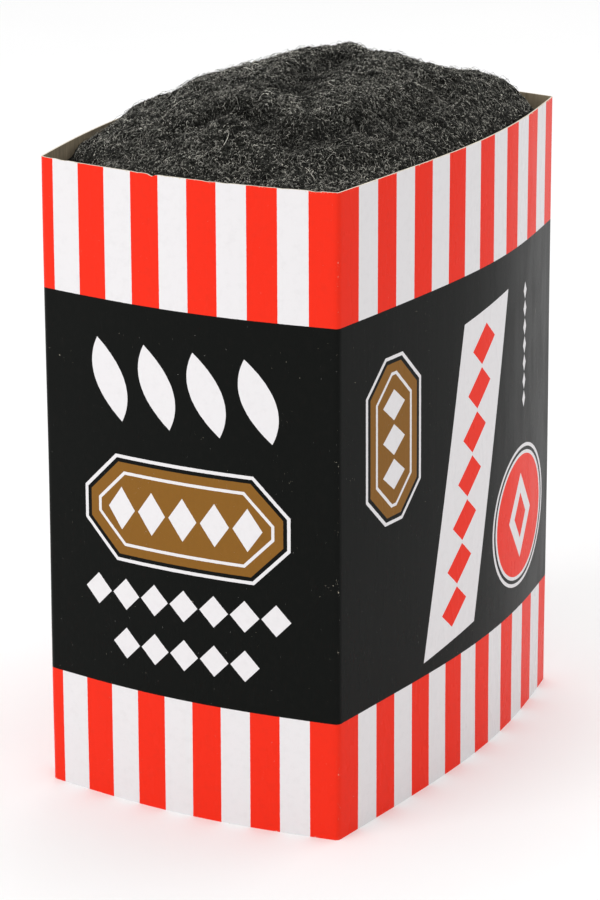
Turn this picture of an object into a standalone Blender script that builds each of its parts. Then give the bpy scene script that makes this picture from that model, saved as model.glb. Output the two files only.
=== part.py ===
"""A card sleeve packed with one folded hank of fine steel wool.

Metres, +Z up.  The sleeve stands on its lower cut edge with its origin in the middle of its
footprint.  Its narrow front panel faces -Y and its wide side panel faces +X.
"""
import math

import bmesh
import bpy

# Sleeve: four panels folded from one board, open at both ends.
STRIPE = 0.0097
FRONT_WIDTH = 0.1004
SIDE_WIDTH = 0.1444
HEIGHT = 0.2015
BOARD = 0.0005
RACK = 0.045
FRONT_BOW = 0.0048
SIDE_BOW = 0.0070
SIDE_BOW_DRIFT = 0.0007
FOLD_RADIUS = 0.0011
DRAW_IN_X = 0.0208
DRAW_IN_Y = 0.0166
FRONT_STEPS = 18
SIDE_STEPS = 24

# Glue flap: carried on from the front panel and stuck inside the far end of the left panel.
FLAP_WIDTH = 0.016
FLAP_OVERLAP = 0.0002
FLAP_CHAMFER = 0.006

# Wool: fills the sleeve to its rim and domes out above it.
FIT_GAP = 0.0003
WOOL_RIM_DROP = 0.0015
WOOL_CROWN = 0.0165
CROWN_RINGS = 10
CROWN_SLOPE = 1.25
CROWN_SHIFT_X = 0.008
CROWN_SHIFT_Y = 0.018

CARD_RED = (0.80, 0.045, 0.022, 1.0)
WOOL_GREY = (0.075, 0.078, 0.074, 1.0)


def clear_scene():
    for item in list(bpy.data.objects):
        bpy.data.objects.remove(item, do_unlink=True)


def make_collection(name):
    group = bpy.data.collections.new(name)
    bpy.context.scene.collection.children.link(group)
    return group


def make_material(name, colour, roughness, metallic):
    material = bpy.data.materials.new(name)
    material.use_nodes = True
    shader = material.node_tree.nodes["Principled BSDF"]
    shader.inputs["Base Color"].default_value = colour
    shader.inputs["Roughness"].default_value = roughness
    shader.inputs["Metallic"].default_value = metallic
    material.diffuse_color = colour
    return material


def add_object(name, mesh_builder, group, material=None):
    mesh = bpy.data.meshes.new(name)
    mesh_builder.to_mesh(mesh)
    mesh_builder.free()
    thing = bpy.data.objects.new(name, mesh)
    group.objects.link(thing)
    if material:
        mesh.materials.append(material)
    return thing


def section_corners(inset):
    """Front-left, near, back-right and back-left corners, each moved in by inset."""
    half_front = FRONT_WIDTH / 2 - inset
    half_side = SIDE_WIDTH / 2 - inset
    lean_x = half_side * math.sin(RACK)
    lean_y = half_side * math.cos(RACK)
    front_left = (-half_front - lean_x, -lean_y)
    near = (half_front - lean_x, -lean_y)
    return front_left, near


def front_bow(along):
    """How far the front panel stands out, with along from 0 to 1 across it."""
    return FRONT_BOW * math.sin(math.pi * along)


def side_bow(along):
    """How far the side panel stands out, a little fuller towards its back."""
    even = SIDE_BOW * math.sin(math.pi * along)
    return even - SIDE_BOW_DRIFT * math.sin(2 * math.pi * along)


def section(inset=0.0):
    """One turn round the sleeve, anticlockwise from the front-left corner.

    The second half is the first turned by 180 degrees.
    """
    front_left, near = section_corners(inset)
    half_front = FRONT_WIDTH / 2 - inset
    half_side = SIDE_WIDTH / 2 - inset
    points = []
    for step in range(FRONT_STEPS):
        along = step / FRONT_STEPS
        points.append((front_left[0] + 2 * half_front * along, front_left[1] - front_bow(along)))
    side_x, side_y = math.sin(RACK), math.cos(RACK)
    for step in range(SIDE_STEPS):
        along = step / SIDE_STEPS
        bow = side_bow(along)
        x = near[0] + 2 * half_side * along * side_x + bow * side_y
        y = near[1] + 2 * half_side * along * side_y - bow * side_x
        points.append((x, y))
    return points + [(-x, -y) for x, y in points]


def drawn_in(x, y, z):
    """The sleeve narrows slightly to its rim."""
    rise = z / HEIGHT
    return (x * (1 - DRAW_IN_X * rise), y * (1 - DRAW_IN_Y * rise), z)


def wall_surface(points, closed):
    """A vertical wall over a line of points, from the lower edge to the rim."""
    builder = bmesh.new()
    foot = [builder.verts.new((x, y, 0.0)) for x, y in points]
    pairs = list(zip(foot, foot[1:]))
    if closed:
        pairs.append((foot[-1], foot[0]))
    edges = [builder.edges.new(pair) for pair in pairs]
    risen = bmesh.ops.extrude_edge_only(builder, edges=edges)["geom"]
    for vert in [item for item in risen if isinstance(item, bmesh.types.BMVert)]:
        vert.co = drawn_in(vert.co.x, vert.co.y, HEIGHT)
    bmesh.ops.recalc_face_normals(builder, faces=builder.faces)
    return builder


def add_solidify(thing, thickness, offset):
    shell = thing.modifiers.new("board", "SOLIDIFY")
    shell.thickness = thickness
    shell.offset = offset
    shell.use_even_offset = True
    return shell


def make_sleeve(group, helpers, material):
    sleeve = add_object("sleeve", wall_surface(section(), True), group, material)
    folds = sleeve.modifiers.new("folds", "BEVEL")
    folds.width = FOLD_RADIUS
    folds.segments = 3
    folds.limit_method = "ANGLE"
    folds.angle_limit = math.radians(40)
    add_solidify(sleeve, BOARD, -1.0)

    flap = make_flap(helpers)
    glue = sleeve.modifiers.new("glued_flap", "BOOLEAN")
    glue.operation = "UNION"
    glue.solver = "EXACT"
    glue.object = flap
    return sleeve


def make_flap(helpers):
    """The narrow glue flap, against the inner face of the left panel beside its back corner."""
    inner = section(BOARD - FLAP_OVERLAP)
    start = len(inner) // 2 + FRONT_STEPS
    pitch = SIDE_WIDTH / SIDE_STEPS
    count = max(2, round(FLAP_WIDTH / pitch))
    line = inner[start:start + count + 1]
    first, second = line[0], line[1]
    line[0] = (first[0] + 0.12 * (second[0] - first[0]), first[1] + 0.12 * (second[1] - first[1]))
    builder = wall_surface(line, False)
    free_edge = line[-1]
    for vert in builder.verts:
        at_rim = vert.co.z > HEIGHT / 2
        reach = math.hypot(vert.co.x - free_edge[0], vert.co.y - free_edge[1])
        share = max(0.0, 1 - reach / FLAP_WIDTH)
        drop = 0.0006 + FLAP_CHAMFER * share
        vert.co.z += -drop if at_rim else drop
    inward = sum(face.normal.x for face in builder.faces)
    if inward < 0:
        bmesh.ops.reverse_faces(builder, faces=builder.faces)
    flap = add_object("flap_form", builder, helpers)
    add_solidify(flap, BOARD + FLAP_OVERLAP, 1.0)
    flap.hide_render = True
    flap.display_type = "WIRE"
    return flap


def wool_section():
    """The space inside the sleeve and its flap, with rounded corners, as points round one turn."""
    outline = section(2 * BOARD + FIT_GAP)
    corners = [0, FRONT_STEPS, FRONT_STEPS + SIDE_STEPS, 2 * FRONT_STEPS + SIDE_STEPS]
    total = len(outline)
    kept = []
    for index, point in enumerate(outline):
        spare = min(min((index - corner) % total, (corner - index) % total) for corner in corners)
        if spare >= 2:
            kept.append(point)
            continue
        if spare == 0:
            kept.extend(corner_arc(outline[index - 2], point, outline[(index + 2) % total]))
    return kept


def corner_arc(before, corner, after):
    """Four points of a quadratic curve that cuts a corner off."""
    arc = []
    for step in (0.2, 0.4, 0.6, 0.8):
        a, b, c = (1 - step) ** 2, 2 * step * (1 - step), step ** 2
        arc.append(tuple(a * before[k] + b * corner[k] + c * after[k] for k in range(2)))
    return arc


def wool_ring(builder, outline, spread, height):
    """One level of the wool, with its outline drawn in towards the crown's middle."""
    ring = []
    for x, y in outline:
        px, py, _ = drawn_in(x, y, min(height, HEIGHT))
        px = CROWN_SHIFT_X * (1 - spread) + px * spread
        py = CROWN_SHIFT_Y * (1 - spread) + py * spread
        ring.append(builder.verts.new((px, py, height)))
    return ring


def make_wool(group, material):
    """The hank as one soft body: a straight fill with a low crown on top."""
    builder = bmesh.new()
    outline = wool_section()
    shoulder = HEIGHT - WOOL_RIM_DROP
    rings = [wool_ring(builder, outline, 1.0, 0.0), wool_ring(builder, outline, 1.0, shoulder)]
    for step in range(1, CROWN_RINGS):
        angle = math.pi / 2 * step / CROWN_RINGS
        rise = (WOOL_CROWN + WOOL_RIM_DROP) * math.sin(angle) ** CROWN_SLOPE
        rings.append(wool_ring(builder, outline, math.cos(angle), shoulder + rise))
    for lower, upper in zip(rings, rings[1:]):
        for index in range(len(lower)):
            after = (index + 1) % len(lower)
            builder.faces.new((lower[index], lower[after], upper[after], upper[index]))
    builder.faces.new(tuple(reversed(rings[0])))
    top = builder.verts.new((CROWN_SHIFT_X, CROWN_SHIFT_Y, HEIGHT + WOOL_CROWN))
    last = rings[-1]
    for index in range(len(last)):
        builder.faces.new((last[index], last[(index + 1) % len(last)], top))
    bmesh.ops.recalc_face_normals(builder, faces=builder.faces)
    wool = add_object("steel_wool", builder, group, material)
    wool.data.shade_smooth()
    return wool


def main():
    clear_scene()
    group = make_collection("sleeved_steel_wool")
    helpers = make_collection("forms")
    board = make_material("printed_board", CARD_RED, 0.28, 0.0)
    wool = make_material("fine_steel_wool", WOOL_GREY, 0.55, 1.0)
    make_sleeve(group, helpers, board)
    make_wool(group, wool)


main()
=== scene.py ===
"""A printed card sleeve packed with fine steel wool, as a photograph shows it.

The frame gives the sleeve's height and place.  The sleeve's skin, the wool's surface and its
strands are made here, in metres, with +Z up and the narrow front panel facing -Y.
"""
import math

import bpy
import numpy as np
from mathutils import Euler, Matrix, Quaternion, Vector, noise


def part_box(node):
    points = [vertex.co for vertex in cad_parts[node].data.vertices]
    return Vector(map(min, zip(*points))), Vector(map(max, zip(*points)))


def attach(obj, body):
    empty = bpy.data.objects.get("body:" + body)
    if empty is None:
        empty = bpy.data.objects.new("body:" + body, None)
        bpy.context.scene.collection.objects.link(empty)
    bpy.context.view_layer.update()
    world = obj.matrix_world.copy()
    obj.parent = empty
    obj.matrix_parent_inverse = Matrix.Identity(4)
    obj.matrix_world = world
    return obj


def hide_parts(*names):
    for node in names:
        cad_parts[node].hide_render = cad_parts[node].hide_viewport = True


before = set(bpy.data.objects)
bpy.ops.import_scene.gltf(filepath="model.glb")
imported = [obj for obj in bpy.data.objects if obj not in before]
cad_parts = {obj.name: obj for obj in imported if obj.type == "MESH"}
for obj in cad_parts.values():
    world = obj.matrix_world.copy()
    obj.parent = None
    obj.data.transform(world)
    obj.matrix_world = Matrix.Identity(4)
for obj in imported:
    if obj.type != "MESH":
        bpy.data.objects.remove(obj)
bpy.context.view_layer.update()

# Sleeve section, as the CAD model has it.
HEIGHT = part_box("sleeve")[1][2]
STRIPE = 0.0097
FRONT_WIDTH = 0.1004
SIDE_WIDTH = 0.1444
RACK = 0.045
FRONT_BOW = 0.0048
SIDE_BOW = 0.0070
SIDE_BOW_DRIFT = 0.0007
DRAW_IN_X = 0.0208
DRAW_IN_Y = 0.0166
FOLD_RADIUS = 0.0012
BOARD = 0.0005

FOLD_SEARCH = 60
LEFT_PANEL = 3

# Glue flap, inside the left panel at the back.
FLAP_WIDTH = 0.016
FLAP_START = 3
FLAP_CHAMFER = 0.006
FLAP_CLEAR = 0.0008
FLAP_TURN = 0.01
GLUE = 0.00005

# Sleeve mesh.
PRINTED, RAW, CUT_EDGE = 0, 1, 2
SKIN_STEP = 0.0008
PANEL_JUMP = 0.05
SHARP_FOLD = 50
RIM_LEVELS = (0.0002, 0.0006, 0.0011, 0.0018, 0.003, 0.005)
LEVEL_STEP = 0.0075
WAVER = 0.00022
RIM_WORN = 0.004
RIM_FRAY = 0.0005
NICK_AT = -6.12 * STRIPE
NICK_WIDTH = 0.0011
NICK_DEPTH = 0.0007

# Print, in stripe widths: distance from the near fold and height from the foot.
FRONT_CORNER_RED = 0.928
SIDE_CORNER_RED = 1.049
LOW_BAND = 3.92
HIGH_BAND = 16.63
FRONT_MIDDLE = 5.2
LEAVES_AT = 14.1
FRONT_LABEL_AT = 9.95
FRONT_LABEL = (3.5, 1.6)
FRONT_ROWS = ((7.1, 3), (5.45, 2))
BANNER_AT = (7.5, 9.9)
BANNER = (1.55, 5.2)
SIDE_LABEL_AT = (2.95, 12.4)
SIDE_LABEL = (2.55, 1.35)
ROUNDEL_AT = (11.7, 7.2)
ROUNDEL = 2.1
COLUMN_AT = (11.9, 13.1)
LEAF_LEAN = 0.35
LEAF_PITCH = 1.75
LEAF_HALF = 1.3
LEAF_WIDTH = 0.58
LABEL_BORDER = 0.42
LABEL_PITCH = 1.12
DIAGONAL = 0.7071

# Wool.
CROWN = 0.0185
RIM_DROP = 0.0016
SQUARENESS = 10.0
PEAK_X, PEAK_Y, PEAK_REACH = 0.05, 0.22, 1.25
SHOULDER_SHARE = 0.30
EDGE_FADE = 8
DEEPEST_FOLD = 0.0045
WOOL_INSET = 0.0016
CROWN_GRID = (210, 300)
FOOT_GRID = (60, 84)
SPLIT_BELOW_RIM = 0.035
FOLD_TURN = 0.47
FURROWS = (
    (((0.003, -0.014), (-0.002, 0.004), (0.000, 0.022)), 0.0052, 0.0040),
    (((0.022, -0.046), (0.042, -0.024), (0.038, 0.016)), 0.0042, 0.0026),
    (((-0.010, -0.044), (0.002, -0.036), (0.008, -0.046)), 0.0030, 0.0019),
    (((-0.018, -0.052), (0.004, -0.026), (0.020, -0.050)), 0.0026, 0.0018),
)
MOUNDS = (
    ((-0.008, 0.046), 0.0040, 0.0014),
    ((0.006, 0.046), 0.0050, -0.0010),
    ((-0.047, -0.022), 0.0100, 0.0034),
    ((-0.030, 0.022), 0.0120, -0.0016),
    ((0.034, 0.062), 0.0110, 0.0022),
    ((0.045, -0.010), 0.0140, -0.0016),
    ((-0.052, -0.026), 0.0070, 0.0020),
    ((-0.032, 0.038), 0.0055, -0.0015),
    ((-0.001, 0.048), 0.0040, -0.0011),
    ((0.027, 0.047), 0.0055, -0.0014),
    ((0.045, 0.062), 0.0050, 0.0018),
)

# Strands: what each kind has in a piece, with ranges in metres. A tone is a range and a power.
SHORT = dict(segments=2, count=11000, reach=0.985, length=(0.0006, 0.0024),
             lift=(0.0002, 0.0008), bend=0.5, thickness=(0.00009, 0.00018), tone=(0.0, 1.0, 2.0))
LONG = dict(segments=6, count=2600, reach=0.96, length=(0.002, 0.0075),
            lift=(0.0004, 0.0017), bend=2.0, thickness=(0.00006, 0.00012), tone=(0.0, 1.0, 2.4))
CURLED = dict(segments=12, count=30, reach=0.9, length=(0.005, 0.011),
              lift=(0.0009, 0.0018), bend=2.4, thickness=(0.00014, 0.00022), tone=(0.8, 1.2, 1.0))
SHORT_PIECES = 4
STRAND_SINK = 0.00020
FLEECE_SHARE = 0.6
# Painted shade: how much darker the strands are made down in the folds.
HOLLOW_SHADE = 0.65

# Light and floor.
WORLD_STRENGTH = 0.74
LIGHT_AIM = (0.0, 0.0, 0.1)
FLOOR_HALF = 6.0

# Camera, from the photograph's perspective.
CAMERA_PLACE = (0.4365, -0.8576, 0.4266)
CAMERA_AZIMUTH = 27.117
CAMERA_DIP = 18.973
CAMERA_ROLL = 0.154
CAMERA_LENS = 127.8

rng = np.random.default_rng(41)


# ---------------------------------------------------------------- node helpers

class Signal:
    """A shader socket that ordinary arithmetic can be written with."""

    def __init__(self, tree, socket):
        self.tree = tree
        self.socket = socket

    def math(self, operation, *others):
        node = self.tree.nodes.new("ShaderNodeMath")
        node.operation = operation
        for slot, value in zip(node.inputs, (self,) + others):
            if isinstance(value, Signal):
                self.tree.links.new(value.socket, slot)
            else:
                slot.default_value = value
        return Signal(self.tree, node.outputs[0])

    def __add__(self, other):
        return self.math("ADD", other)

    def __sub__(self, other):
        return self.math("SUBTRACT", other)

    def __mul__(self, other):
        return self.math("MULTIPLY", other)

    def __truediv__(self, other):
        return self.math("DIVIDE", other)

    def __neg__(self):
        return self.math("MULTIPLY", -1.0)

    def __abs__(self):
        return self.math("ABSOLUTE")

    def below(self, other):
        return self.math("LESS_THAN", other)

    def above(self, other):
        return self.math("GREATER_THAN", other)

    def higher(self, other):
        return self.math("MAXIMUM", other)

    def spread(self, low, high, to_low=0.0, to_high=1.0):
        """This value's range from low to high, stretched over a new range and clamped."""
        node = self.tree.nodes.new("ShaderNodeMapRange")
        self.tree.links.new(self.socket, node.inputs["Value"])
        node.inputs["From Min"].default_value = low
        node.inputs["From Max"].default_value = high
        node.inputs["To Min"].default_value = to_low
        node.inputs["To Max"].default_value = to_high
        return Signal(self.tree, node.outputs["Result"])


class Paint:
    """One material's node tree, with short names for the nodes it uses."""

    def __init__(self, name):
        self.material = bpy.data.materials.new(name)
        self.material.use_nodes = True
        self.tree = self.material.node_tree
        self.shader = self.tree.nodes["Principled BSDF"]

    def coordinates(self, kind):
        node = self.tree.nodes.new("ShaderNodeTexCoord")
        return node.outputs[kind]

    def print_place(self):
        node = self.tree.nodes.new("ShaderNodeUVMap")
        node.uv_map = "print"
        split = self.tree.nodes.new("ShaderNodeSeparateXYZ")
        self.tree.links.new(node.outputs["UV"], split.inputs[0])
        return Signal(self.tree, split.outputs[0]), Signal(self.tree, split.outputs[1])

    def attribute(self, name):
        node = self.tree.nodes.new("ShaderNodeAttribute")
        node.attribute_name = name
        return Signal(self.tree, node.outputs["Fac"])

    def stretched(self, vector, scale):
        node = self.tree.nodes.new("ShaderNodeMapping")
        node.inputs["Scale"].default_value = scale
        self.tree.links.new(vector, node.inputs["Vector"])
        return node.outputs["Vector"]

    def noise(self, vector, scale, detail=3.0, roughness=0.5):
        node = self.tree.nodes.new("ShaderNodeTexNoise")
        node.inputs["Scale"].default_value = scale
        node.inputs["Detail"].default_value = detail
        node.inputs["Roughness"].default_value = roughness
        self.tree.links.new(vector, node.inputs["Vector"])
        return Signal(self.tree, node.outputs["Fac"])

    def blend(self, first, second, share):
        """Colour first turning to colour second as share goes from 0 to 1."""
        node = self.tree.nodes.new("ShaderNodeMix")
        node.data_type = "RGBA"
        self.tree.links.new(share.socket, node.inputs["Factor"])
        for slot, value in ((node.inputs[6], first), (node.inputs[7], second)):
            if isinstance(value, bpy.types.NodeSocket):
                self.tree.links.new(value, slot)
            else:
                slot.default_value = (*value, 1.0)
        return node.outputs[2]

    def feed(self, name, source):
        socket = source.socket if isinstance(source, Signal) else source
        self.tree.links.new(socket, self.shader.inputs[name])

    def bump(self, height, depth, strength=1.0):
        node = self.tree.nodes.new("ShaderNodeBump")
        node.inputs["Strength"].default_value = strength
        node.inputs["Distance"].default_value = depth
        self.tree.links.new(height.socket, node.inputs["Height"])
        self.tree.links.new(node.outputs["Normal"], self.shader.inputs["Normal"])

    def fix(self, **values):
        """Sets constant values on the shader's own sockets."""
        for name, value in values.items():
            title = name.replace("_", " ").title().replace("Ior", "IOR")
            self.shader.inputs[title].default_value = value


# ---------------------------------------------------------------- the sleeve's section

def half_outline(count=1600):
    """Front-left corner to near corner to back-right corner, with the near fold rounded."""
    half_front, half_side = FRONT_WIDTH / 2, SIDE_WIDTH / 2
    side_x, side_y = math.sin(RACK), math.cos(RACK)
    left = np.array([-half_front - half_side * side_x, -half_side * side_y])
    near = np.array([half_front - half_side * side_x, -half_side * side_y])
    t = np.linspace(0, 1, count, endpoint=False)
    front = np.stack([left[0] + FRONT_WIDTH * t, left[1] - FRONT_BOW * np.sin(np.pi * t)], 1)
    bow = SIDE_BOW * np.sin(np.pi * t) - SIDE_BOW_DRIFT * np.sin(2 * np.pi * t)
    side_line = near + np.outer(SIDE_WIDTH * t, (side_x, side_y))
    side = side_line + np.outer(bow, (side_y, -side_x))
    return front, side


def full_outline():
    """The whole turn with rounded folds, and each point's distance from its near fold."""
    front, side = half_outline()
    lines = [front, side, -front, -side]
    points, along = [], []
    for turn, line in enumerate(lines):
        steps = np.hypot(*np.diff(line, axis=0, append=[lines[(turn + 1) % 4][0]]).T)
        run = np.concatenate([[0], np.cumsum(steps)[:-1]])
        start = -steps.sum() if turn % 2 == 0 else 0.0
        points.append(line)
        along.append(run + start)
    points, along = np.concatenate(points), np.concatenate(along)
    return round_folds(points, len(front)), along


def round_folds(points, per_panel):
    """Swaps each sharp fold for a small curve."""
    out = points.copy()
    total = len(points)
    for fold in range(4):
        centre = fold * per_panel
        corner = points[centre].copy()
        near = [i % total for i in range(centre - FOLD_SEARCH, centre + FOLD_SEARCH + 1)]
        reach = [i for i in near if np.hypot(*(points[i] - corner)) < FOLD_RADIUS]
        first, last = reach[0], reach[-1]
        for order, index in enumerate(reach):
            t = order / (len(reach) - 1)
            out[index] = ((1 - t) ** 2 * points[first] + 2 * t * (1 - t) * corner
                          + t ** 2 * points[last])
    return out


def spaced(points, along, step):
    """Points at an even spacing, with the exact corners kept, and the panel each is on."""
    per_panel = len(points) // 4
    out, places, turns = [], [], []
    for turn in range(4):
        part = points[turn * per_panel:(turn + 1) * per_panel]
        length = np.concatenate([[0], np.cumsum(np.hypot(*np.diff(part, axis=0).T))])
        count = int(length[-1] / step)
        at = np.linspace(0, length[-1], count, endpoint=False)
        out.append(np.stack([np.interp(at, length, part[:, k]) for k in range(2)], 1))
        places.append(np.interp(at, length, along[turn * per_panel:(turn + 1) * per_panel]))
        turns.append(np.full(count, turn))
    return np.concatenate(out), np.concatenate(places), np.concatenate(turns)


def drawn_in(points, z):
    """The sleeve narrows slightly to its rim."""
    rise = np.asarray(z) / HEIGHT
    shrink = np.stack([1 - DRAW_IN_X * rise, 1 - DRAW_IN_Y * rise], -1)
    return points * shrink


def outward(points):
    """The direction straight out of the outline at each of its points."""
    ahead, behind = np.roll(points, -1, axis=0), np.roll(points, 1, axis=0)
    run = ahead - behind
    normal = np.stack([run[:, 1], -run[:, 0]], 1)
    return normal / np.linalg.norm(normal, axis=1)[:, None]


# ---------------------------------------------------------------- mesh helpers

def mesh_object(name, vertices, faces, materials, smooth=True):
    """A new mesh object in the scene, with its materials."""
    mesh = bpy.data.meshes.new(name)
    mesh.from_pydata(vertices, [], faces)
    mesh.update()
    mesh.validate()
    if smooth:
        mesh.shade_smooth()
    for material in materials:
        mesh.materials.append(material)
    thing = bpy.data.objects.new(name, mesh)
    bpy.context.scene.collection.objects.link(thing)
    return thing


def claim(thing, slot, *nodes):
    """Fixes a piece to the part's one body and hides the CAD parts that it replaces."""
    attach(thing, "root")
    if nodes:
        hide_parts(*nodes)
    return thing


# ---------------------------------------------------------------- sleeve

def sleeve_levels():
    """Heights of the skin's rows, closer together at the foot and the rim."""
    edge = list(RIM_LEVELS)
    middle = np.arange(edge[-1] + LEVEL_STEP, HEIGHT - edge[-1] - LEVEL_STEP / 2, LEVEL_STEP)
    upper = [HEIGHT - e for e in reversed(edge)]
    return np.array([0.0] + edge + list(middle) + upper + [HEIGHT])


def waver(x, y, z):
    """A slow, shallow unevenness of the board, and none at its foot."""
    place = (x * 22, y * 22, z * 14)
    return WAVER * noise.noise(place) * min(1.0, z / 0.02)


def rim_nick(along, z):
    """How far the rim is rubbed down all round, and torn down at one place."""
    if z < HEIGHT - RIM_WORN:
        return 0.0
    rubbed = RIM_FRAY * max(0.0, noise.noise((along * 210, 2.0, 7.0)))
    across = (along - NICK_AT) / NICK_WIDTH
    ragged = 0.6 + 0.5 * noise.noise((across * 3.1, 4.0, 1.0))
    torn = NICK_DEPTH * math.exp(-across * across) * ragged * 1.6
    return (rubbed + torn) * (z - HEIGHT + RIM_WORN) / RIM_WORN


def sleeve_points(points, along, levels):
    """Both skins of the board, level by level: the printed one, then the raw one."""
    vertices = []
    for depth in (0.0, BOARD):
        for z in levels:
            ring = drawn_in(points, z)
            for (x, y), (nx, ny), place in zip(ring, outward(ring), along):
                on_front = y < 0 and abs(ny) > 0.7
                worn = rim_nick(place, z) if on_front else 0.0
                shift = waver(x, y, z) - depth
                vertices.append((x + nx * shift, y + ny * shift, z - worn))
    return vertices


def sleeve_faces(count, rows, seam):
    """Faces of both skins and of the two cut edges, and each face's material."""
    faces, kinds = [], []

    def add_ring(row, step, flip, kind):
        for i in range(count):
            a, b = row * count + i, row * count + (i + 1) % count
            quad = (a, b, b + step, a + step)
            faces.append(quad[::-1] if flip else quad)
            kinds.append(kind)

    for row in range(rows - 1):
        add_ring(row, count, False, PRINTED)
        kinds[row * count + seam] = CUT_EDGE
    for row in range(rows, 2 * rows - 1):
        add_ring(row, count, True, RAW)
    add_ring(0, rows * count, True, CUT_EDGE)
    add_ring(rows - 1, rows * count, False, CUT_EDGE)
    return faces, kinds


def make_sleeve(printed, raw, cut_edge):
    """The folded board, with its glued seam at the back of the left panel."""
    points, along, turns = spaced(*full_outline(), SKIN_STEP)
    levels = sleeve_levels()
    seam = int(np.flatnonzero(turns == LEFT_PANEL)[0])
    vertices = sleeve_points(points, along, levels)
    faces, kinds = sleeve_faces(len(points), len(levels), seam)
    sleeve = mesh_object("card_sleeve", vertices, faces, (printed, raw, cut_edge))
    sleeve.data.polygons.foreach_set("material_index", kinds)
    lay_print(sleeve.data, along, levels)
    sleeve.data.set_sharp_from_angle(angle=math.radians(SHARP_FOLD))
    return claim(sleeve, "printed_board", "sleeve")


def flap_points(points, first, columns):
    """The flap's two sides, each a grid from its foot to its top, and the number of rows."""
    away = outward(points)
    cut = FLAP_CLEAR + FLAP_CHAMFER * (np.arange(columns + 1) / columns) ** 2
    middle = np.full(columns + 1, HEIGHT * 0.5)
    levels = [cut, cut + FLAP_TURN, middle, HEIGHT - cut - FLAP_TURN, HEIGHT - cut]
    vertices = []
    for depth in (BOARD + GLUE, 2 * BOARD + GLUE):
        for level in levels:
            for pick, z in enumerate(level, first):
                x, y = drawn_in(points[pick], z) - away[pick] * depth
                vertices.append((x, y, z))
    return vertices, len(levels)


def flap_faces(columns, rows):
    """Faces of the flap's two sides and of its cut rim, and each face's material."""
    wide, sheet = columns + 1, (columns + 1) * rows
    faces = []
    for row in range(rows - 1):
        for a in range(row * wide, row * wide + columns):
            faces.append((a, a + 1, a + 1 + wide, a + wide))
            faces.append(tuple(q + sheet for q in (a, a + wide, a + 1 + wide, a + 1)))
    rim = (list(range(columns)) + [r * wide + columns for r in range(rows - 1)]
           + [sheet - 1 - k for k in range(columns)]
           + [r * wide for r in range(rows - 1, 0, -1)])
    kinds = [0] * len(faces) + [1] * len(rim)
    faces += [(b, a, a + sheet, b + sheet) for a, b in zip(rim, rim[1:] + rim[:1])]
    return faces, kinds


def make_flap(raw, cut_edge):
    """The glue flap, inside the left panel beside its back corner."""
    points, _, turns = spaced(*full_outline(), SKIN_STEP)
    first = int(np.flatnonzero(turns == LEFT_PANEL)[0]) + FLAP_START
    columns = int(FLAP_WIDTH / SKIN_STEP)
    vertices, rows = flap_points(points, first, columns)
    faces, kinds = flap_faces(columns, rows)
    flap = mesh_object("glue_flap", vertices, faces, (raw, cut_edge), smooth=False)
    flap.data.polygons.foreach_set("material_index", kinds)
    return claim(flap, "printed_board")


def lay_print(mesh, along, levels):
    """Print coordinates: distance from the near fold and height, both in stripe widths."""
    loops = np.empty(len(mesh.loops), dtype=np.int64)
    mesh.loops.foreach_get("vertex_index", loops)
    row, ring = np.divmod(loops, len(along))
    per_face = along[ring].reshape(-1, 4)
    # A face that closes a panel takes its far side's distance from its own panel.
    wide = per_face.max(1) - per_face.min(1) > PANEL_JUMP
    far = per_face[wide]
    reach = np.where(far > 0, far, 0).max(1)
    per_face[wide] = np.where(far > 0, far, (reach + SKIN_STEP)[:, None])
    heights = levels[row % len(levels)]
    coordinates = np.stack([per_face.ravel() / STRIPE, heights / STRIPE], 1)
    uv = mesh.uv_layers.new(name="print")
    uv.data.foreach_set("uv", coordinates.astype(np.float32).ravel())


# ---------------------------------------------------------------- sleeve materials

RED = (0.85, 0.028, 0.011)
WHITE = (0.77, 0.752, 0.762)
BLACK = (0.0042, 0.0048, 0.0042)
BROWN = (0.235, 0.105, 0.018)
SOIL = (0.035, 0.028, 0.024)
CREAM = (0.66, 0.60, 0.48)
SPECK = (0.6, 0.58, 0.55)
LABEL_INKS = ((0.16, WHITE), (0.05, BLACK), (-0.08, BROWN))
ROUNDEL_INKS = ((0.36, WHITE), (0.24, BLACK), (0.12, WHITE), (0.0, RED))


def lozenge(x, y, half_x, half_y):
    """This and the next three give a value that is below 0 inside their shape."""
    return abs(x) / half_x + abs(y) / half_y - 1.0


def box(x, y, half_x, half_y):
    return (abs(x) - half_x).higher(abs(y) - half_y)


def disc(x, y, radius):
    return (x * x + y * y).math("SQRT") - radius


def eight_sided(x, y, half_x, half_y, cut):
    """A box with its corners cut off."""
    return box(x, y, half_x, half_y).higher((abs(x) + abs(y) - (half_x + half_y - cut)) * DIAGONAL)


def layered(paint, colour, shape, layers):
    """Paints a shape over colour, from its outermost outline to its middle."""
    for grow, ink in layers:
        colour = paint.blend(colour, ink, shape.below(grow))
    return colour


def filled(paint, colour, shape, ink):
    """Paints a shape over colour in one ink."""
    return layered(paint, colour, shape, [(0.0, ink)])


def badge(paint, colour, x, y, size, reach):
    """A brown cut-corner label with outlines, a white line inside and a row of lozenges."""
    half_x, half_y = size
    shape = eight_sided(x, y, half_x, half_y, half_y * 0.7)
    colour = layered(paint, colour, shape, LABEL_INKS)
    inner = eight_sided(x, y, half_x - LABEL_BORDER, half_y - LABEL_BORDER, half_y * 0.6)
    colour = filled(paint, colour, abs(inner) - 0.05, WHITE)
    return lozenge_row(paint, colour, x, y, reach, LABEL_PITCH, (0.50, half_y * 0.44), WHITE)


def lozenge_row(paint, colour, x, y, reach, pitch, size, ink):
    """A row of lozenges, reach to each side of the middle one."""
    cell = (x / pitch + 0.5).math("FLOOR")
    one = lozenge(x - cell * pitch, y, *size)
    return filled(paint, colour, one.higher(abs(cell) - (reach + 0.5)), ink)


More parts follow.
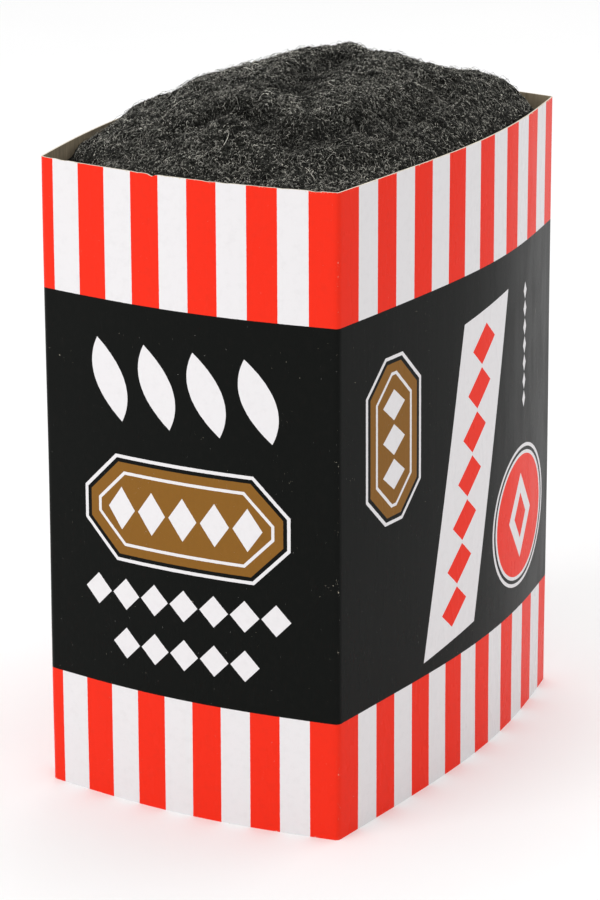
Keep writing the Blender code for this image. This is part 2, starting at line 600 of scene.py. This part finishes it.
def leaf_row(paint, colour, x, y):
    """A row of four slanted leaf shapes."""
    slid = x - y * LEAF_LEAN
    place = slid - (slid / LEAF_PITCH).math("FLOOR") * LEAF_PITCH - LEAF_PITCH / 2
    half_width = (y * y * (-1 / LEAF_HALF ** 2) + 1.0) * LEAF_WIDTH
    leaf = (abs(place) - half_width).higher(abs(slid) - 2 * LEAF_PITCH)
    return filled(paint, colour, leaf.higher(abs(y) - LEAF_HALF), WHITE)


def stripes(paint, u, v):
    """Red and white stripes from the near folds, and the black band across them."""
    corner = u.above(0.0) * (SIDE_CORNER_RED - FRONT_CORNER_RED) + FRONT_CORNER_RED
    past = abs(u) - corner
    pale = (past - (past / 2.0).math("FLOOR") * 2.0).below(1.0) * past.above(0.0)
    band = v.above(LOW_BAND) * v.below(HIGH_BAND)
    return paint.blend(paint.blend(RED, WHITE, pale), BLACK, band)


def front_print(paint, colour, u, v):
    """Leaves, a label and two rows of lozenges, down the middle of the front and the back."""
    x = -u - FRONT_MIDDLE
    colour = leaf_row(paint, colour, x, v - LEAVES_AT)
    colour = badge(paint, colour, x, v - FRONT_LABEL_AT, FRONT_LABEL, 2)
    for height, reach in FRONT_ROWS:
        y = v - height
        colour = lozenge_row(paint, colour, x, y, reach, 1.06, (0.4982, 0.525), WHITE)
    return colour


def side_print(paint, colour, u, v):
    """A leaning panel, an upright label, a roundel and a fine column, on both sides."""
    x, y = u - BANNER_AT[0], v - BANNER_AT[1]
    across, upward = x - y * 0.22, y - x * 0.12
    colour = filled(paint, colour, box(across, upward, *BANNER), WHITE)
    colour = lozenge_row(paint, colour, upward, across, 3, 1.36, (0.6392, 0.75), RED)
    x, y = u - SIDE_LABEL_AT[0], v - SIDE_LABEL_AT[1]
    colour = badge(paint, colour, y, x, SIDE_LABEL, 1)
    x, y = u - ROUNDEL_AT[0], v - ROUNDEL_AT[1]
    colour = layered(paint, colour, disc(x, y, ROUNDEL), ROUNDEL_INKS)
    colour = filled(paint, colour, lozenge(x, y, 1.05, 1.5), WHITE)
    colour = filled(paint, colour, lozenge(x, y, 0.55, 0.8), RED)
    x, y = u - COLUMN_AT[0], v - COLUMN_AT[1]
    return lozenge_row(paint, colour, y, x, 3, 0.62, (0.2914, 0.15), WHITE)


def printed_card():
    """Glossy print over white board, with its edges trembling very slightly."""
    paint = Paint("printed_card")
    u, v = paint.print_place()
    metres = paint.coordinates("Object")
    tremble = (paint.noise(metres, 900.0, 2.0) - 0.5) * 0.014
    u, v = u + tremble, v + tremble
    colour = stripes(paint, u, v)
    colour = front_print(paint, colour, u, v)
    colour = side_print(paint, colour, u, v)
    paint.feed("Base Color", card_wear(paint, colour, u, v, metres))
    gloss = paint.noise(paint.stretched(metres, (1.0, 1.0, 0.25)), 160.0, 4.0)
    paint.feed("Roughness", gloss.spread(0.3, 0.7, 0.20, 0.34))
    paint.fix(ior=1.14)
    orange_peel = paint.noise(metres, 380.0, 2.0)
    streaks = paint.noise(paint.stretched(metres, (1.0, 1.0, 0.03)), 260.0, 2.0)
    paint.bump(orange_peel * 0.4 + streaks, 0.00004, 0.8)
    return paint.material


def card_wear(paint, colour, u, v, metres):
    """Cracked ink along the folds, rim and foot, faint handling marks and pale specks."""
    grain = paint.noise(metres, 1500.0, 4.0, 0.7)
    patches = paint.noise(metres, 120.0, 3.0)
    fold = abs(u).spread(0.0, 0.14, 0.09, 0.0)
    rim = v.spread(HEIGHT / STRIPE - 0.10, HEIGHT / STRIPE, 0.0, 0.17)
    foot = v.spread(0.0, 0.08, 0.14, 0.0)
    worn = (grain + patches * 0.35 + fold + rim + foot).above(0.94)
    colour = paint.blend(colour, CREAM, worn)
    handled = paint.noise(metres, 420.0, 4.0, 0.6).spread(0.50, 0.74, 0.0, 0.045)
    colour = paint.blend(colour, SOIL, handled)
    specks = paint.noise(metres, 2600.0, 1.0, 0.4).above(0.825)
    return paint.blend(colour, SPECK, specks * 0.75)


def raw_board():
    """The unprinted grey-brown face inside the sleeve."""
    paint = Paint("raw_board")
    metres = paint.coordinates("Object")
    fibre = paint.noise(paint.stretched(metres, (1.0, 1.0, 0.2)), 900.0, 5.0, 0.65)
    patches = paint.noise(metres, 60.0, 3.0)
    colour = paint.blend((0.23, 0.180, 0.110), (0.40, 0.33, 0.225), fibre.spread(0.3, 0.7))
    colour = paint.blend(colour, (0.12, 0.10, 0.075), patches.spread(0.5, 0.8, 0.0, 0.6))
    paint.feed("Base Color", colour)
    paint.fix(roughness=0.85)
    paint.bump(fibre, 0.00008)
    return paint.material


def cut_board():
    """The pale fibrous edge where the board was cut."""
    paint = Paint("cut_board")
    metres = paint.coordinates("Object")
    fibre = paint.noise(metres, 1800.0, 4.0, 0.7)
    colour = paint.blend((0.42, 0.36, 0.26), (0.78, 0.73, 0.62), fibre.spread(0.3, 0.65))
    paint.feed("Base Color", colour)
    paint.fix(roughness=0.9)
    paint.bump(fibre, 0.00006)
    return paint.material


# ---------------------------------------------------------------- wool surface

def wool_reach(x, y):
    """Half width and half depth of the wool at a place in the sleeve, before it leans."""
    bow_x = SIDE_BOW * np.cos(np.pi * np.clip(y / SIDE_WIDTH, -0.5, 0.5))
    bow_y = FRONT_BOW * np.cos(np.pi * np.clip(x / FRONT_WIDTH, -0.5, 0.5))
    return FRONT_WIDTH / 2 - WOOL_INSET + bow_x, SIDE_WIDTH / 2 - WOOL_INSET + bow_y


def wool_space(a, b):
    """Place in the sleeve of a point given by its shares of the half width and half depth."""
    x, y = a * FRONT_WIDTH / 2, b * SIDE_WIDTH / 2
    for _ in range(4):
        half_x, half_y = wool_reach(x, y)
        x, y = a * half_x, b * half_y
    return x + y * math.sin(RACK), y * math.cos(RACK)


def outline_reach(a, b):
    """How far out a point is, with 1 on the hank's rounded outline."""
    return (np.abs(a) ** SQUARENESS + np.abs(b) ** SQUARENESS) ** (1 / SQUARENESS)


def rounding(s, t):
    """The share that draws a point of the square in to the rounded outline."""
    return np.maximum(np.abs(s), np.abs(t)) / np.maximum(outline_reach(s, t), 1e-9)


def grid_shares(columns, rows):
    """An even grid over a square, drawn in to a rounded outline."""
    s, t = np.meshgrid(np.linspace(-1, 1, columns), np.linspace(-1, 1, rows), indexing="ij")
    shrink = rounding(s, t)
    return s * shrink, t * shrink


def lattice(x, y, size, seed):
    """Smooth noise from -1 to 1 over the plane, with features of about the given size."""
    table = np.random.default_rng(seed).uniform(-1, 1, (64, 64))
    px, py = np.asarray(x) / size + 17.3, np.asarray(y) / size + 9.1
    ix, iy = np.floor(px).astype(int), np.floor(py).astype(int)
    fx, fy = px - ix, py - iy
    fx, fy = fx * fx * (3 - 2 * fx), fy * fy * (3 - 2 * fy)
    corners = [table[(ix + dx) % 64, (iy + dy) % 64] for dx in (0, 1) for dy in (0, 1)]
    low = corners[0] * (1 - fy) + corners[1] * fy
    high = corners[2] * (1 - fy) + corners[3] * fy
    return low * (1 - fx) + high * fx


def furrow(x, y, start, bend, end, width, depth):
    """A soft valley along a bent line."""
    t = np.linspace(0, 1, 24)[:, None]
    start, bend, end = (np.array(p) for p in (start, bend, end))
    line = (1 - t) ** 2 * start + 2 * t * (1 - t) * bend + t ** 2 * end
    gap = np.full(np.shape(x), 1e9)
    for px, py in line:
        gap = np.minimum(gap, (x - px) ** 2 + (y - py) ** 2)
    return -depth * np.exp(-gap / (2 * width ** 2))


def furrows(x, y):
    """All the deep valleys between the hank's folds."""
    return sum(furrow(x, y, *line, width, depth) for line, width, depth in FURROWS)


def hollow(x, y):
    """How far down in a fold a place is, from 0 to 1, which sets the painted shade that darkens
    the wool there.
    """
    return np.clip(-furrows(x, y) / DEEPEST_FOLD, 0, 1)


def mound(x, y, place, width, rise):
    """A soft round rise, or a hollow where rise is negative."""
    return rise * np.exp(-((x - place[0]) ** 2 + (y - place[1]) ** 2) / (2 * width ** 2))


def folds(x, y):
    """Creases that run one way, slow unevenness, furrows and lumps."""
    across = x * math.cos(FOLD_TURN) + y * math.sin(FOLD_TURN)
    beside = y * math.cos(FOLD_TURN) - x * math.sin(FOLD_TURN)
    height = 0.0016 * lattice(across, beside * 0.35, size=0.0105, seed=3)
    height += 0.0012 * lattice(x, y, size=0.022, seed=5)
    height += furrows(x, y)
    for place, width, rise in MOUNDS:
        height += mound(x, y, place, width, rise)
    return height


def crown_height(x, y):
    """Height of the wool's top over a point of the plan."""
    y0 = y / math.cos(RACK)
    x0 = x - y * math.tan(RACK)
    half_x, half_y = wool_reach(x0, y0)
    edge = np.clip(outline_reach(x0 / half_x, y0 / half_y), 0, 1)
    away = np.hypot(x0 / half_x - PEAK_X, y0 / half_y - PEAK_Y)
    broad = 1 - np.clip(away / PEAK_REACH, 0, 1) ** 2
    shoulder = 1 - edge ** 4
    share = SHOULDER_SHARE + (1 - SHOULDER_SHARE) * broad
    z = HEIGHT - RIM_DROP + (CROWN + RIM_DROP) * shoulder * share
    fade = np.clip((1 - edge) * EDGE_FADE, 0, 1)
    return z + folds(x, y) * fade + corner_dips(x, y)


def corner_dips(x, y):
    """The hank's rounded corners, which leave two of the sleeve's corners open."""
    front_left = half_outline(2)[0][0]
    dips = mound(x, y, front_left, 0.0085, -0.020)
    return dips + mound(x, y, -front_left, 0.0050, -0.012)


def fleece(x, y):
    """The fine matted roughness of the surface."""
    rough = 0.00060 * lattice(x, y, size=0.0048, seed=7)
    rough = rough + 0.00050 * lattice(y, x, size=0.0021, seed=11)
    return rough + 0.00030 * lattice(x + y, x - y, size=0.0010, seed=13)


def slab(grid, top, levels):
    """A gridded top with sides down through levels, open at its last ring."""
    columns, rows = grid
    x, y = wool_space(*grid_shares(columns, rows))
    points = np.stack([x * (1 - DRAW_IN_X), y * (1 - DRAW_IN_Y), top(x, y)], -1)
    vertices = points.reshape(-1, 3).tolist()
    faces = [(k, k + rows, k + rows + 1, k + 1)
             for i in range(columns - 1) for k in range(i * rows, i * rows + rows - 1)]
    ring = ([i * rows for i in range(columns)]
            + [(columns - 1) * rows + j for j in range(1, rows)]
            + [i * rows + rows - 1 for i in range(columns - 2, -1, -1)]
            + list(range(rows - 2, 0, -1)))
    outline = np.stack([x.ravel()[ring], y.ravel()[ring]], 1)
    for z in levels:
        lower = list(range(len(vertices), len(vertices) + len(ring)))
        vertices += [(px, py, z) for px, py in drawn_in(outline, z)]
        faces += zip(ring, lower, lower[1:] + lower[:1], ring[1:] + ring[:1])
        ring = lower
    return vertices, faces, ring


def make_crown(material):
    """The upper part of the hank, with the surface that shows."""
    def top(x, y):
        return crown_height(x, y) + fleece(x, y)

    levels = [HEIGHT - 0.004, HEIGHT - 0.010, HEIGHT - SPLIT_BELOW_RIM]
    vertices, faces, ring = slab(CROWN_GRID, top, levels)
    faces.append(tuple(reversed(ring)))
    crown = mesh_object("wool_crown", vertices, faces, (material,))
    mark_fold_shade(crown)
    claim(crown, "fine_steel_wool", "steel_wool")
    return crown


def make_foot(material):
    """The lower part of the hank, whose rough underside shows from below."""
    def under(x, y):
        rough = 0.0009 + 0.0008 * lattice(x, y, size=0.011, seed=21)
        return np.clip(rough + 5 * np.abs(fleece(x * 0.3, y * 0.3)), 0.0004, 0.004)

    levels = [0.004, HEIGHT - SPLIT_BELOW_RIM - 0.0006]
    vertices, faces, ring = slab(FOOT_GRID, under, levels)
    faces = [tuple(reversed(face)) for face in faces]
    faces.append(tuple(ring))
    foot = mesh_object("wool_foot", vertices, faces, (material,))
    claim(foot, "fine_steel_wool")
    return foot


# ---------------------------------------------------------------- strands

def strand_points(segments, places, headings, lengths, lifts, bends, thickness):
    """Three-sided tubes along short arcs that lie on the wool."""
    t = np.linspace(-0.5, 0.5, segments + 1)
    turn = headings[:, None] + bends[:, None] * t[None, :]
    step = (lengths / segments)[:, None]
    x = places[:, 0:1] + np.cumsum(np.cos(turn), 1) * step
    y = places[:, 1:2] + np.cumsum(np.sin(turn), 1) * step
    x -= x.mean(1, keepdims=True) - places[:, 0:1]
    y -= y.mean(1, keepdims=True) - places[:, 1:2]
    arch = np.clip(1 - 4 * t ** 2, 0, 1)[None, :]
    z = crown_height(x, y) + fleece(x, y) * FLEECE_SHARE + lifts[:, None] * arch - STRAND_SINK
    path = np.stack([x * (1 - DRAW_IN_X), y * (1 - DRAW_IN_Y), z], -1)
    side = np.stack([-np.sin(turn), np.cos(turn), np.zeros_like(turn)], -1)
    up = np.array([0.0, 0.0, 1.0])
    taper = ((0.55 + 0.45 * arch) * (thickness / 2)[:, None])[:, :, None]
    angles = (math.pi / 2, math.pi * 7 / 6, math.pi * 11 / 6)
    rings = [path + (side * math.cos(q) + up * math.sin(q)) * taper for q in angles]
    return np.stack(rings, 2).reshape(-1, 3)


def strand_faces(count, segments):
    """Quads along every strand, and the triangles that close its two ends."""
    quads = [(s + q, s + r, s + 3 + r, s + 3 + q)
             for s in range(0, segments * 3, 3) for q, r in ((0, 1), (1, 2), (2, 0))]
    last = segments * 3
    ends = [(0, 2, 1), (last, last + 1, last + 2)]
    base = np.arange(count)[:, None, None] * (segments + 1) * 3
    return (np.array(quads) + base).reshape(-1, 4), (np.array(ends) + base).reshape(-1, 3)


def fill_mesh(mesh, vertices, quads, ends):
    """Puts many vertices, quads and triangles into a mesh at once."""
    mesh.vertices.add(len(vertices))
    mesh.vertices.foreach_set("co", vertices.astype(np.float32).ravel())
    corners = np.concatenate([quads.ravel(), ends.ravel()]).astype(np.int32)
    mesh.loops.add(len(corners))
    mesh.loops.foreach_set("vertex_index", corners)
    starts = [np.arange(len(quads)) * 4, quads.size + np.arange(len(ends)) * 3]
    mesh.polygons.add(len(quads) + len(ends))
    mesh.polygons.foreach_set("loop_start", np.concatenate(starts).astype(np.int32))
    mesh.update(calc_edges=True)
    mesh.validate()
    mesh.shade_smooth()


def make_strand_piece(name, material, segments, count, reach, length, lift, bend, thickness, tone):
    """One piece of many fine closed strands of a kind."""
    places = scatter(count, reach)
    headings = rng.uniform(0, 2 * np.pi, count)
    lengths, lifts = rng.uniform(*length, count), rng.uniform(*lift, count)
    bends, widths = rng.normal(0, bend, count), rng.uniform(*thickness, count)
    tones = rng.uniform(*tone[:2], count) ** tone[2]
    # Painted shade: strands down in the folds are made darker.
    tones = tones * (1 - HOLLOW_SHADE * hollow(places[:, 0], places[:, 1]))
    piece = mesh_object(name, [], [], (material,))
    vertices = strand_points(segments, places, headings, lengths, lifts, bends, widths)
    fill_mesh(piece.data, vertices, *strand_faces(count, segments))
    shade = piece.data.attributes.new("tone", "FLOAT", "POINT")
    shade.data.foreach_set("value", np.repeat(tones, (segments + 1) * 3).astype(np.float32))
    return claim(piece, "fine_steel_wool")


def mark_fold_shade(thing):
    """Stores how deep in a fold each point of the wool is, for the painted shade that its material
    puts in the folds.
    """
    mesh = thing.data
    points = np.empty(len(mesh.vertices) * 3, dtype=np.float32)
    mesh.vertices.foreach_get("co", points)
    x, y, _ = points.reshape(-1, 3).T
    depth = mesh.attributes.new("hollow", "FLOAT", "POINT")
    depth.data.foreach_set("value", hollow(x, y).astype(np.float32))


def scatter(count, reach):
    """Places over the wool's plan, evenly spread."""
    s, t = rng.uniform(-1, 1, count), rng.uniform(-1, 1, count)
    share = rounding(s, t) * reach
    return np.stack(wool_space(s * share, t * share), 1)


def make_strands(material):
    for piece in range(SHORT_PIECES):
        make_strand_piece(f"wool_strands_{piece + 1}", material, **SHORT)
    make_strand_piece("wool_flyaways", material, **LONG)
    make_strand_piece("wool_curls", material, **CURLED)


# ---------------------------------------------------------------- wool materials

def matted_wool():
    """The felted body of the wool, crossed by fine fibres, with painted shade darkening it in its
    folds.
    """
    paint = Paint("matted_wool")
    metres = paint.coordinates("Object")
    fibres = paint.noise(paint.stretched(metres, (1.0, 0.35, 1.0)), 2600.0, 4.0, 0.7)
    crossing = paint.noise(paint.stretched(metres, (0.35, 1.0, 1.0)), 2300.0, 4.0, 0.7)
    tufts = paint.noise(metres, 240.0, 4.0, 0.6)
    shade = fibres.higher(crossing)
    colour = paint.blend((0.0015, 0.0015, 0.0012), (0.150, 0.152, 0.132), shade.spread(0.5, 0.8))
    colour = paint.blend(colour, (0.0015, 0.0015, 0.0013), tufts.spread(0.35, 0.65, 0.75, 0.0))
    # Painted shade: the felt is darkened down in the folds.
    depth = paint.attribute("hollow")
    colour = paint.blend(colour, (0.0015, 0.0015, 0.0014), depth * 0.6)
    paint.feed("Base Color", colour)
    paint.feed("Roughness", shade.spread(0.4, 0.8, 0.8, 0.45))
    paint.fix(metallic=0.6, ior=1.12)
    paint.bump(shade + tufts, 0.0006)
    return paint.material


def bright_strand():
    """Single fibres of steel, from dark to bright."""
    paint = Paint("bright_strand")
    # The tone attribute holds each strand's random tone, with painted shade in the folds
    # multiplied in.
    tone = paint.attribute("tone")
    metres = paint.coordinates("Object")
    speckle = paint.noise(metres, 1400.0, 2.0)
    shine = tone * speckle.spread(0.38, 0.56)
    colour = paint.blend((0.003, 0.003, 0.0025), (0.95, 0.93, 0.83), shine)
    paint.feed("Base Color", colour)
    paint.feed("Roughness", speckle.spread(0.3, 0.7, 0.3, 0.5))
    paint.fix(metallic=0.9, ior=1.12)
    return paint.material


# ---------------------------------------------------------------- stage, light and camera

def make_stage():
    """The plain pale floor."""
    paint = Paint("floor")
    metres = paint.coordinates("Object")
    patches = paint.noise(metres, 9.0, 2.0)
    paint.feed("Base Color", paint.blend((0.93, 0.93, 0.93), (0.95, 0.95, 0.95), patches))
    paint.fix(roughness=0.9)
    low, high = -FLOOR_HALF, FLOOR_HALF
    corners = [(low, low, 0), (high, low, 0), (high, high, 0), (low, high, 0)]
    floor = mesh_object("floor", corners, [(0, 1, 2, 3)], (paint.material,), smooth=False)


def area_light(name, place, target, size, power):
    """A soft rectangular light at a place, turned to its target."""
    light = bpy.data.lights.new(name, "AREA")
    light.shape = "RECTANGLE"
    light.size, light.size_y = size
    light.energy = power
    thing = bpy.data.objects.new(name, light)
    thing.location = place
    away = np.array(place) - np.array(target)
    yaw = math.atan2(away[0], -away[1])
    tilt = math.atan2(math.hypot(away[0], away[1]), away[2])
    thing.rotation_euler = Euler((tilt, 0.0, yaw))
    bpy.context.scene.collection.objects.link(thing)


def make_lights():
    """An even pale surround, a key light in front and a light above."""
    world = bpy.data.worlds.new("studio")
    bpy.context.scene.world = world
    world.use_nodes = True
    background = world.node_tree.nodes["Background"]
    background.inputs["Color"].default_value = (1.0, 1.0, 1.0, 1.0)
    background.inputs["Strength"].default_value = WORLD_STRENGTH
    area_light("key", (-0.75, -1.6, 1.15), LIGHT_AIM, (1.2, 1.2), 14.0)
    area_light("top", (0.1, 0.5, 2.2), LIGHT_AIM, (1.8, 1.8), 19.0)


def make_camera():
    """The photograph's view of the near corner."""
    data = bpy.data.cameras.new("camera")
    data.lens = CAMERA_LENS
    camera = bpy.data.objects.new("camera", data)
    camera.location = CAMERA_PLACE
    aim = Euler((math.radians(90 - CAMERA_DIP), 0.0, math.radians(CAMERA_AZIMUTH)))
    roll = Quaternion((0.0, 0.0, 1.0), -math.radians(CAMERA_ROLL))
    camera.rotation_euler = (aim.to_quaternion() @ roll).to_euler()
    data.clip_end = 50.0
    bpy.context.scene.collection.objects.link(camera)
    bpy.context.scene.camera = camera


bpy.context.scene.view_settings.view_transform = "Standard"
make_camera()
make_lights()
make_stage()
raw, cut = raw_board(), cut_board()
make_sleeve(printed_card(), raw, cut)
make_flap(raw, cut)
wool = matted_wool()
make_crown(wool)
make_foot(wool)
make_strands(bright_strand())
